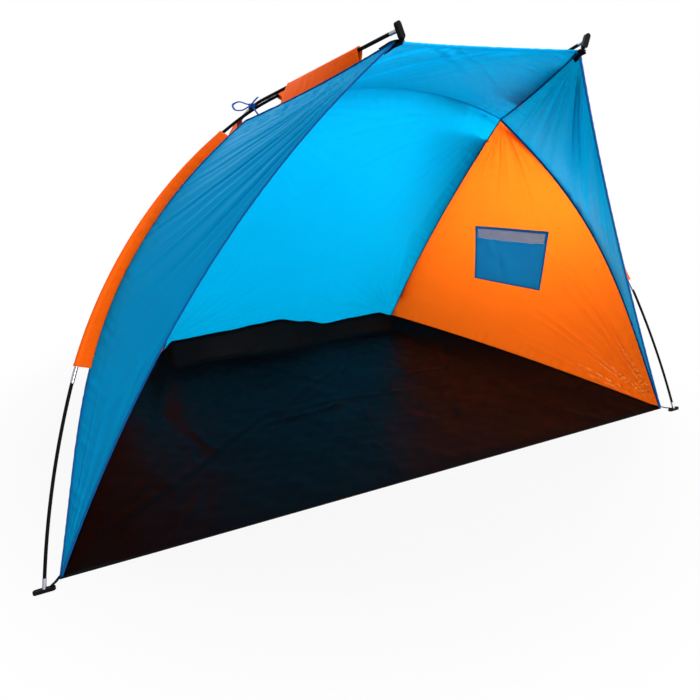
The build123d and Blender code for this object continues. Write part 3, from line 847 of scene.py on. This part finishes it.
class WINDBREAK_OT_front_panels(WindbreakOperator, bpy.types.Operator):
    """Stretch the two front panels, the cyan cloth drawn a deeper blue as painted shade, from the front
    corners up to the tips
    """

    bl_idname = "windbreak.front_panels"
    bl_label = "Front panels"

    def make(self, sizes):
        cut = Cut(sizes)
        for side, sign in SIDES:
            outward = sided(cut.out_of_front, sign)
            seam, edge, roof = (sided_curve(c, sign) for c in (cut.side_seam, cut.free_edge, cut.roof_seam))
            corner, tip = sided(cut.front, sign), sided(cut.tip, sign)
            smooth = coons(still(corner), roof, seam, edge, 84, 210)
            seed = 50 + sign
            step, depth = (5.0, 0.0130) if sign > 0 else (3.0, 0.0045)
            seams = [(seam, 0.0030, 0.026, 0.036, seed + 12), (roof, 0.0050, 0.045, 0.034, seed + 15)]
            corners = [
                (tip, (corner + seam(0.5)) / 2, step, depth, 0.16, 0.8, seed + 3),
                (corner, tip, 4.4, 0.0022, 0.14, 0.5, seed + 6),
            ]
            height = 0.0016 * swell(plane_map(smooth, outward), 0.2, seed)
            height = height + pulls(smooth, outward, seams, corners)
            height = height * border_mask(smooth, [seam, roof], 0.012) * border_mask(smooth, [edge], 0.010)
            cloth_panel(
                side + "_front_cloth", smooth, height, outward, "blue", sizes,
                side + "_front_panel", "blue_fabric",
            )


def search_tree(points, faces):
    """The cloth as a tree that finds the places nearest to points and hit by rays."""
    corners = [Vector(point) for point in points.reshape(-1, 3)]
    return BVHTree.FromPolygons(corners, [tuple(face) for face in faces])


class Window:
    """The side window's plane, its leaning outline and its places on the panel's cloth."""

    def __init__(self, cut, sizes, sign, smooth, points, faces):
        shares = WINDOW_PLACE_SHARES
        place = sided(cut.front * shares[0] + cut.back * shares[1] + cut.hub * shares[2], sign)
        nearest = search_tree(smooth, faces).find_nearest(Vector(place))
        self.centre, square = (np.array(found) for found in nearest[:2])
        self.square = square if square.dot(sided(cut.out_of_side, sign)) > 0 else -square
        self.across = unit(np.cross(self.square, UP))
        if self.across.dot(sided(cut.front - cut.back, sign)) < 0:
            self.across = -self.across
        self.up = unit(UP - self.square * self.square[2])
        self.width, self.height, self.lean = sizes.window_width, sizes.window_height, sizes.window_lean
        self.tree = search_tree(points, faces)

    def flat(self, a, b):
        """The place on the window's plane at a across from its middle line and b up from its centre."""
        lean = self.lean * b / self.height
        return self.centre + np.multiply.outer(a + lean, self.across) + np.multiply.outer(b, self.up)

    def on_cloth(self, a, b, lift):
        """The same place dropped on the cloth, then lifted off its outer face."""
        flat = self.flat(np.asarray(a, float), np.asarray(b, float))
        square = Vector(self.square)
        found = []
        for place in flat.reshape(-1, 3):
            hit = self.tree.ray_cast(Vector(place) - square * 0.3, square)[0]
            if hit is None:
                raise RuntimeError("the window lies off its side panel")
            found.append(hit)
        lift = np.broadcast_to(lift, flat.shape[:-1])
        return np.array(found).reshape(flat.shape) + lift[..., None] * self.square

    def inside(self, point, grow=0.0):
        off = np.asarray(point) - self.centre
        b = off @ self.up
        a = off @ self.across - self.lean * b / self.height
        return abs(a) < self.width / 2 + grow and abs(b) < self.height / 2 + grow


WINDOWS = {}


class WINDBREAK_OT_side_panels(WindbreakOperator, bpy.types.Operator):
    """Stretch the two orange side panels and cut their windows out"""

    bl_idname = "windbreak.side_panels"
    bl_label = "Side panels"

    def make(self, sizes):
        cut = Cut(sizes)
        for side, sign in SIDES:
            outward = sided(cut.out_of_side, sign)
            front, back = (sided_curve(c, sign) for c in (cut.side_seam, cut.back_seam))
            rim = cut.right_rim if sign > 0 else cut.left_rim
            corner, rear, hub = sided(cut.front, sign), sided(cut.back, sign), sided(cut.hub, sign)
            smooth = coons(rim, still(hub), front, back, 150, 130)
            uv = plane_map(smooth, outward)
            seed = 70 + sign
            seams = [
                (front, 0.0032, 0.036, 0.036, seed + 3),
                (back, 0.0040, 0.045, 0.040, seed + 6),
                (rim, 0.0030, 0.05, 0.05, seed + 9),
            ]
            corners = [
                (hub, (corner + rear) / 2, 7.0, 0.0032, 0.10, 0.34, seed + 12),
                (corner, hub, 5.0, 0.0085, 0.12, 0.46, seed + 15),
                (rear, hub, 6.0, 0.0040, 0.12, 0.32, seed + 18),
            ]
            height = 0.0018 * swell(uv, 0.26, seed) + pulls(smooth, outward, seams, corners)
            height = height * border_mask(smooth, [front, back, rim], 0.013)
            grid = raised(smooth, height, outward)
            faces = grid_faces(*grid.shape[:2])
            window = WINDOWS[side] = Window(cut, sizes, sign, smooth, grid, faces)
            name, node = side + "_side_cloth", side + "_side_panel"
            made = cloth(name, grid, uv, outward, "orange", sizes.cloth, node, "orange_fabric")
            self.cut_window(made, window)

    def cut_window(self, made, window):
        shape = bmesh.new()
        shape.from_mesh(made.data)
        half_width, half_height = window.width / 2, window.height / 2
        slope = unit(window.up * window.height + window.across * window.lean)
        lines = [(window.flat(turn * half_width, 0.0), np.cross(slope, window.square)) for turn in (1, -1)]
        lines += [(window.flat(0.0, turn * half_height), window.up) for turn in (1, -1)]
        for place, square in lines:
            near = [f for f in shape.faces if window.inside(f.calc_center_median(), 0.03)]
            verts, edges = {v for f in near for v in f.verts}, {e for f in near for e in f.edges}
            geom = [*verts, *edges, *near]
            bmesh.ops.bisect_plane(shape, geom=geom, plane_co=Vector(place), plane_no=Vector(square))
        gone = [f for f in shape.faces if window.inside(f.calc_center_median())]
        if not gone:
            raise RuntimeError("no window was cut in " + made.name)
        bmesh.ops.delete(shape, geom=gone, context="FACES")
        shape.to_mesh(made.data)
        shape.free()
        made.data.update()


class WINDBREAK_OT_windows(WindbreakOperator, bpy.types.Operator):
    """Fill the windows with net, hang the flaps inside and bind the edges"""

    bl_idname = "windbreak.windows"
    bl_label = "Windows"

    def make(self, sizes):
        for side, sign in SIDES:
            window = WINDOWS[side]
            self.net(side, window)
            self.flap(side, window, sizes, 90 + sign)
            self.frame(side, window, sizes.binding)

    def net(self, side, window):
        width, height = window.width, window.height
        a, b = np.meshgrid(np.linspace(-width / 2, width / 2, 73), np.linspace(-height / 2, height / 2, 65))
        grid = window.on_cloth(a, b, NET_LIFT)
        made = new_object(side + "_window_net", grid, grid_faces(*a.shape), None, "net")
        face_out(made, window.square)
        wires = made.modifiers.new("net threads", "WIREFRAME")
        wires.thickness = NET_THREAD
        wires.use_even_offset = False
        settle(made, [side + "_window_mesh"])

    def flap(self, side, window, sizes, seed):
        half_width, half_height = window.width / 2, window.height / 2
        top = half_height - sizes.net_height
        a, b = np.meshgrid(np.linspace(-half_width, half_width, 61), np.linspace(-half_height, top, 45))
        up = (b + half_height) / (top + half_height)
        loose = (1 - (a / half_width) ** 4) * np.clip(up * 4, 0, 1)
        folds = ripple(a / FLAP_FOLD_STEP + 0.25 * np.sin(2 * b / half_height), seed) * (0.35 + 0.65 * up)
        droop = FLAP_DROOP * up**6 * (1 - (a / half_width) ** 2)
        uv = np.stack([a, b], axis=-1)
        slack = FLAP_SLACK + FLAP_FOLD * folds + FLAP_BULGE * swell(uv, FLAP_BULGE_SIZE, seed)
        depth = FLAP_GAP + loose * slack
        grid = window.on_cloth(a, b - droop, -depth)
        name = side + "_window_flap"
        made = cloth(name + "_cloth", grid, uv, window.square, "flap", sizes.cloth, name, "blue_fabric")
        hem = even_line(grid[-1] - window.square * 0.0006, 60)
        outline = tape_outline(FLAP_HEM, TAPE_THICKNESS)
        ribbon(name + "_hem", hem, window.up, outline, "flap", [])

    def frame(self, side, window, tape):
        half_width, half_height = window.width / 2, window.height / 2
        corners = [(a * half_width, b * half_height) for a, b in ((-1, -1), (1, -1), (1, 1), (-1, 1))]
        # The tape's section: outward in tape widths, and off the cloth in millimetres
        profile = [(-1, -2.1), (0, -2.9), (1, -2.1), (1, 1.3), (0, 2.0), (-1, 1.3)]
        rings = []
        for (a0, b0), (a1, b1) in zip(corners, corners[1:] + corners[:1]):
            for share in np.linspace(0, 1, 28, endpoint=False):
                place = np.array((a0 + (a1 - a0) * share, b0 + (b1 - b0) * share))
                mitre = np.sign(place) * (np.abs(place) > np.array((half_width, half_height)) - 1e-9)
                rings.append(
                    [window.on_cloth(*(place + mitre * out * tape), lift * MM) for out, lift in profile]
                )
        rings = np.array(rings)
        count, sides_round = rings.shape[:2]
        faces = grid_faces(count + 1, sides_round, closed=True) % (count * sides_round)
        made = new_object(side + "_window_tape", rings, faces, ring_map(rings), "window_tape", smooth=False)
        face_out(made)
        settle(made, [side + "_window_binding"])


class WINDBREAK_OT_seams(WindbreakOperator, bpy.types.Operator):
    """Bind the seams with blue tape and hem the free edges"""

    bl_idname = "windbreak.seams"
    bl_label = "Seam tapes and hems"

    def make(self, sizes):
        cut = Cut(sizes)
        # Name, curve, shares of it, side, width, thickness, finish and slot
        runs = [
            ("top_seam_tape", cut.top_seam, (0.0, 1.0), 1, 0.0050, 0.0026, "cyan", "cyan_fabric"),
            ("roof_edge_hem", cut.roof_edge, (0.004, 0.996), 1, 0.0070, 0.0020, "cyan", "cyan_fabric"),
        ]
        for name, curve in (("back", cut.back_rim), ("right", cut.right_rim), ("left", cut.left_rim)):
            runs.append((name + "_rim_hem", curve, (0.0, 1.0), 1, 0.0070, 0.0026, "edge", "groundsheet"))
        for side, sign in SIDES:
            for name, curve, shares, wide, thick in (
                ("_side_seam_tape", cut.side_seam, (0.004, 1.0), 0.0095, 0.0036),
                ("_back_seam_tape", cut.back_seam, (0.0, 1.0), 0.0095, 0.0036),
                ("_roof_seam_tape", cut.roof_seam, (0.0, 0.996), 0.0095, 0.0036),
                ("_free_edge_hem", cut.free_edge, (0.004, 0.996), 0.0060, 0.0022),
            ):
                runs.append((side + name, curve, shares, sign, wide, thick, "binding", "binding"))
        for number, (name, curve, shares, sign, wide, thick, look, slot) in enumerate(runs):
            line = even_line(sided(curve(np.linspace(*shares, 300)), sign), 220)
            run = np.linspace(0, 1, len(line)) * run_of(line)[-1]
            inward = unit(SHELTER_MIDDLE - line)
            line = line + inward * (SEAM_WAVER * ripple(run / SEAM_WAVER_STEP, number))[:, None]
            ribbon(name, line, inward, oval(wide, thick, SEAM_SHIFT), look, [])


class WINDBREAK_OT_sleeves(WindbreakOperator, bpy.types.Operator):
    """Sew the pole sleeves: cloth folded round a pole, both layers stitched to a seam"""

    bl_idname = "windbreak.sleeves"
    bl_label = "Pole sleeves"

    def make(self, sizes):
        cut = Cut(sizes)
        whole_arch = np.concatenate([flipped(cut.arch)[::-1], cut.arch[1:]])
        self.sleeve("top_sleeve", whole_arch, (0.4085, 0.5915), cut.top_seam, sizes.sleeve_radius, 120)
        for side, sign in SIDES:
            for name, line, shares, seam, seed in (
                ("arch_sleeve", cut.arch, (0.297, 0.703), cut.side_seam, 121),
                ("bow_lower_sleeve", cut.bow, (0.12, 0.66), cut.back_seam, 123),
                ("bow_upper_sleeve", cut.bow, (0.797, 0.937), cut.roof_seam, 125),
            ):
                line, seam = sided(line, sign), sided_curve(seam, sign)
                self.sleeve(side + "_" + name, line, shares, seam, sizes.sleeve_radius, seed + sign)

    def sleeve(self, name, line, shares, seam, radius, seed):
        length = run_of(line)[-1] * (shares[1] - shares[0])
        count = max(24, int(length / SLEEVE_STEP))
        place, ahead = at_share(line, np.linspace(*shares, count))
        run = np.linspace(0, length, count)
        seam_line = seam(np.linspace(0, 1, 500))
        near = seam_line[((place[:, None] - seam_line[None]) ** 2).sum(axis=2).argmin(axis=1)]
        near = smooth_line(near[np.linspace(0, count - 1, 12).astype(int)], count)
        reach = np.linalg.norm(near - place, axis=1) - SLEEVE_SEAM_GAP
        side = unit(near - place)
        lift = unit(np.cross(ahead, side))
        steps = np.linspace(0, 1, 12)
        folds = sum(depth * ripple(run / spacing, seed + more) for depth, spacing, more in SLEEVE_FOLDS)
        rings = []
        for turn in (1, -1):
            meet = np.arccos(np.clip(radius / reach, -1, 1))
            touch = np.stack([radius * np.cos(meet), turn * radius * np.sin(meet)], axis=1)
            end = np.stack([reach, np.full(count, turn * SLEEVE_CLOTH)], axis=1)
            flat = end[:, None] * (1 - steps[None, :, None]) + touch[:, None] * steps[None, :, None]
            slack = (np.sin(steps * math.pi) ** 0.7)[None] * folds[:, None]
            flat[..., 1] += slack + turn * 0.0009 * np.sin(steps * math.pi)[None]
            angle = meet[:, None] + (math.pi - meet)[:, None] * np.linspace(0, 1, 9)[None, 1:]
            bend = np.stack([radius * np.cos(angle), turn * radius * np.sin(angle)], axis=-1)
            rings.append(np.concatenate([flat, bend], axis=1))
        outline = np.concatenate([rings[0], rings[1][:, -2::-1]], axis=1)
        hem = np.exp(-((np.minimum(run, length - run) / SLEEVE_HEM) ** 2))
        outline = outline * (1 + 0.10 * hem[:, None, None])
        points = place[:, None] + side[:, None] * outline[..., :1] + lift[:, None] * outline[..., 1:]
        width = run_of(points[count // 2])
        uv = run_map(run, width)
        made = cloth(name + "_cloth", points, uv, None, "sleeve", SLEEVE_CLOTH, name, "sleeve_fabric", 1.0)
        self.stitches(name, points, length)

    def stitches(self, name, points, length):
        """Lock stitches along the channel, on both of its faces."""
        faces, verts = [], []
        for column in (9, points.shape[1] - 10):
            line = even_line(points[:, column], int(length / STITCH_STEP))
            for pair in (line[start:start + 2] for start in range(0, len(line) - 1, 2)):
                ahead = unit(pair[1] - pair[0])
                side = unit(np.cross(ahead, UP + 0.01)) * STITCH_HALF_WIDTH
                up = np.cross(side, ahead)
                first = len(verts)
                for spot in pair:
                    verts += [spot - side - up, spot + side - up, spot + side + up, spot - side + up]
                faces += [*(first + grid_faces(2, 4, closed=True))]
                faces += [range(first, first + 4), range(first + 4, first + 8)]
        uv = np.zeros((len(verts), 2))
        made = new_object(name + "_stitches", np.array(verts), faces, uv, "sleeve")
        face_out(made)
        settle(made, [])


class WINDBREAK_OT_straps(WindbreakOperator, bpy.types.Operator):
    """Sew the webbing straps that hold the corners to the end bars"""

    bl_idname = "windbreak.straps"
    bl_label = "Corner straps"

    def make(self, sizes):
        cut = Cut(sizes)
        foot, heel, tip = cut.arch[-1] * (1, 1, 0), cut.bow[0] * (1, 1, 0), cut.bow[-1]
        over_seam = cut.roof_seam(np.array((0.98, 0.95, 0.92))) + (0, 0, 0.0040)
        behind_seam = cut.back_seam(np.array((0.05, 0.02, 0.0))) + (0.003, 0.004, 0.002)
        down_panel = unit((cut.front + cut.side_seam(0.5)) / 2 - cut.tip)
        along_seam = unit(cut.roof_seam(0.9) - cut.tip)
        inside = cut.tip - cut.out_of_front * 0.004
        # Name, width as a share of the strap's, direction across and the places it runs through
        runs = (
            ("front_strap", 0.6, (0.8, 0.6, 0.0), [
                cut.front + (-0.020, 0.030, 0.006), cut.front + (0.0, 0.002, 0.006),
                foot + (-0.0245, 0.012, 0.0085), foot + (-0.0185, 0.0035, 0.0101),
                foot + (-0.0155, -0.0015, 0.0101),
            ]),
            ("back_strap", 1.0, (0.8, -0.6, 0.0), [
                *behind_seam, heel + (-0.030, -0.0145, 0.036), heel + (-0.021, -0.004, 0.0145),
                heel + (-0.0175, 0.0015, 0.0102), heel + (-0.0155, 0.0085, 0.0065),
                heel + (-0.0155, 0.0085, 0.0016),
            ]),
            ("tip_strap", 0.75, (1.0, -0.25, 0.0), [
                tip + (-0.0065, -0.0055, -0.0215), tip + (-0.003, 0.006, -0.0185), *over_seam,
            ]),
            ("tip_tab", 1.3, np.cross(cut.out_of_front, along_seam), [
                tip + (-0.0065, -0.0055, -0.0215), inside + along_seam * 0.002 + down_panel * 0.004,
                inside + along_seam * 0.014 + down_panel * 0.007,
                inside + along_seam * 0.026 + down_panel * 0.007,
            ]),
        )
        for side, sign in SIDES:
            for name, share, across, stops in runs:
                line = sided(smooth_line(stops, 44), sign)
                outline = tape_outline(sizes.strap_width * share, TAPE_THICKNESS)
                nodes = [] if name == "tip_tab" else [side + "_" + name]
                whole = side + "_" + name + "_webbing"
                ribbon(whole, line, sided(across, sign), outline, "webbing", nodes)


class WINDBREAK_OT_tie_tapes(WindbreakOperator, bpy.types.Operator):
    """Tie the blue tapes in small bows over the pole crossings"""

    bl_idname = "windbreak.tie_tapes"
    bl_label = "Tie tapes"

    def make(self, sizes):
        cut = Cut(sizes)
        knot = at_share(cut.arch, KNOT_SHARE)[0] + UP * KNOT_LIFT
        out, on = np.array((0.903, 0.430, 0.0)), np.array((-0.430, 0.903, 0.0))

        def from_knot(*stops):
            return [knot + out * a + on * b + UP * c for a, b, c in stops]

        thin = tape_outline(sizes.tape_width, TIE_TAPE_THICKNESS)
        runs = (
            ("tie_tape_strip", from_knot(
                (0, 0, 0), (-0.010, -0.006, -0.013), (-0.023, -0.008, -0.031),
            ), thin),
            ("tie_tape_loop", from_knot(
                (0.002, 0, 0.001), (0.016, 0.010, 0.004), (0.036, 0.016, 0.009), (0.050, 0.006, 0.001),
                (0.042, -0.012, -0.011), (0.024, -0.014, -0.012), (0.010, -0.006, -0.005), (0.002, 0, -0.001),
            ), thin),
            ("tie_tape_tail", from_knot(
                (0, -0.003, 0.001), (-0.008, -0.010, 0.010), (-0.019, -0.014, 0.020),
            ), thin),
            ("tie_tape_knot", from_knot(
                (0.007, 0.001, 0), (0.003, 0, 0.0005), (-0.003, 0, 0.0005), (-0.007, -0.001, 0),
            ), oval(0.0105, 0.0095)),
        )
        for side, sign in SIDES:
            for name, stops, outline in runs:
                line = sided(smooth_line(stops, 48), sign)
                nodes = [side + "_tie_tape"] if name == "tie_tape_strip" else []
                ribbon(side + "_" + name, line, sided(on, sign), outline, "tape", nodes)


class WINDBREAK_OT_frame_finishes(WindbreakOperator, bpy.types.Operator):
    """Give the poles, ferrules and end bars their finishes"""

    bl_idname = "windbreak.frame_finishes"
    bl_label = "Poles, ferrules and end bars"

    def make(self, sizes):
        for name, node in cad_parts.items():
            for word, look in (("_pole_", "rod"), ("_ferrules", "metal"), ("_bar", "fitting")):
                if word in name:
                    node.data.materials.clear()
                    node.data.materials.append(finish_of(look))


class WINDBREAK_OT_stage(WindbreakOperator, bpy.types.Operator):
    """Set the pale floor, the soft lamps and the camera"""

    bl_idname = "windbreak.stage"
    bl_label = "Stage, lamps and camera"

    def make(self, sizes):
        scene = bpy.context.scene
        scene.view_settings.view_transform = "Standard"
        bpy.ops.mesh.primitive_circle_add(
            vertices=96, radius=FLOOR_RADIUS, fill_type="NGON", location=(0, 0, 0)
        )
        floor = bpy.context.object
        floor.name = "studio_floor"
        floor.data.materials.append(self.floor_paint())
        self.world(scene)
        for name, (place, target, energy, size) in LAMPS.items():
            lamp = bpy.data.lights.new(name, "AREA")
            lamp.energy, lamp.size = energy, size
            holder = bpy.data.objects.new(name, lamp)
            scene.collection.objects.link(holder)
            holder.location = place
            holder.rotation_euler = (Vector(target) - Vector(place)).to_track_quat("-Z", "Y").to_euler()
        lens = bpy.data.cameras.new("camera")
        lens.lens, lens.sensor_width, (lens.shift_x, lens.shift_y) = LENS, SENSOR, SHIFT
        camera = bpy.data.objects.new("camera", lens)
        scene.collection.objects.link(camera)
        camera.location = CAMERA_PLACE
        camera.rotation_euler = Euler((math.radians(90 - CAMERA_DOWN), 0, math.radians(CAMERA_TURN)))
        scene.camera = camera

    def floor_paint(self):
        """Matt white paint that keeps the shadow and fades to plain white away from the object."""
        material, tree = new_material("matt_white_floor")
        seen = self.seen_rays(tree)
        diffuse = add_node(tree, "ShaderNodeBsdfDiffuse", {"Color": (0.4, 0.4, 0.4, 1)})
        white = add_node(tree, "ShaderNodeEmission", {"Color": (1, 1, 1, 1), "Strength": 1.0})
        place = add_node(tree, "ShaderNodeTexCoord").outputs["Object"]
        away = add_node(tree, "ShaderNodeVectorMath", {0: place}, operation="LENGTH")
        span = {"From Min": FLOOR_FADE[0], "From Max": FLOOR_FADE[1], "To Min": 0.9, "To Max": 1.0}
        fade = add_node(
            tree, "ShaderNodeMapRange", {"Value": away.outputs["Value"], **span},
            interpolation_type="SMOOTHSTEP",
        )
        share = add_node(tree, "ShaderNodeMath", {0: fade.outputs[0], 1: seen}, operation="MULTIPLY")
        mix = add_node(
            tree, "ShaderNodeMixShader", {0: share.outputs[0], 1: diffuse.outputs[0], 2: white.outputs[0]}
        )
        add_node(tree, "ShaderNodeOutputMaterial", {"Surface": mix.outputs[0]})
        return material

    def seen_rays(self, tree):
        """One for rays that the camera, a metal or a glass sends, nought for those that light the object."""
        rays = add_node(tree, "ShaderNodeLightPath")
        first = add_node(
            tree, "ShaderNodeMath", {0: rays.outputs["Is Camera Ray"], 1: rays.outputs["Is Glossy Ray"]},
            operation="MAXIMUM",
        )
        both = add_node(
            tree, "ShaderNodeMath", {0: first.outputs[0], 1: rays.outputs["Is Transmission Ray"]},
            operation="MAXIMUM",
        )
        return both.outputs[0]

    def world(self, scene):
        scene.world = bpy.data.worlds.new("studio")
        scene.world.use_nodes = True
        tree = scene.world.node_tree
        tree.nodes.clear()
        light = add_node(tree, "ShaderNodeBackground", {"Color": (1, 1, 1, 1), "Strength": WORLD_LIGHT})
        white = add_node(tree, "ShaderNodeBackground", {"Color": (1, 1, 1, 1), "Strength": 1.0})
        mix = add_node(
            tree, "ShaderNodeMixShader", {0: self.seen_rays(tree), 1: light.outputs[0], 2: white.outputs[0]}
        )
        add_node(tree, "ShaderNodeOutputWorld", {"Surface": mix.outputs[0]})


STEPS = (
    WINDBREAK_OT_groundsheet, WINDBREAK_OT_back_panel, WINDBREAK_OT_roof_panel, WINDBREAK_OT_front_panels,
    WINDBREAK_OT_side_panels, WINDBREAK_OT_windows, WINDBREAK_OT_seams, WINDBREAK_OT_sleeves,
    WINDBREAK_OT_straps, WINDBREAK_OT_tie_tapes, WINDBREAK_OT_frame_finishes, WINDBREAK_OT_stage,
)


class WINDBREAK_PT_panel(bpy.types.Panel):
    """Sizes, colours and steps of the windbreak"""

    bl_idname = "WINDBREAK_PT_panel"
    bl_label = "Beach Windbreak"
    bl_space_type = "VIEW_3D"
    bl_region_type = "UI"
    bl_category = "Windbreak"

    def draw(self, context):
        for step in STEPS:
            self.layout.operator(step.bl_idname)
        for group in (context.scene.windbreak_sizes, context.scene.windbreak_colours):
            for name in group.__annotations__:
                self.layout.prop(group, name)


CLASSES = (WindbreakSizes, WindbreakColours, *STEPS, WINDBREAK_PT_panel)


def register():
    for each in CLASSES:
        bpy.utils.register_class(each)
    bpy.types.Scene.windbreak_sizes = PointerProperty(type=WindbreakSizes)
    bpy.types.Scene.windbreak_colours = PointerProperty(type=WindbreakColours)


def unregister():
    del bpy.types.Scene.windbreak_sizes
    del bpy.types.Scene.windbreak_colours
    for each in reversed(CLASSES):
        bpy.utils.unregister_class(each)


def main():
    register()
    for step in STEPS:
        group, name = step.bl_idname.split(".")
        getattr(getattr(bpy.ops, group), name)()


if __name__ == "__main__":
    main()
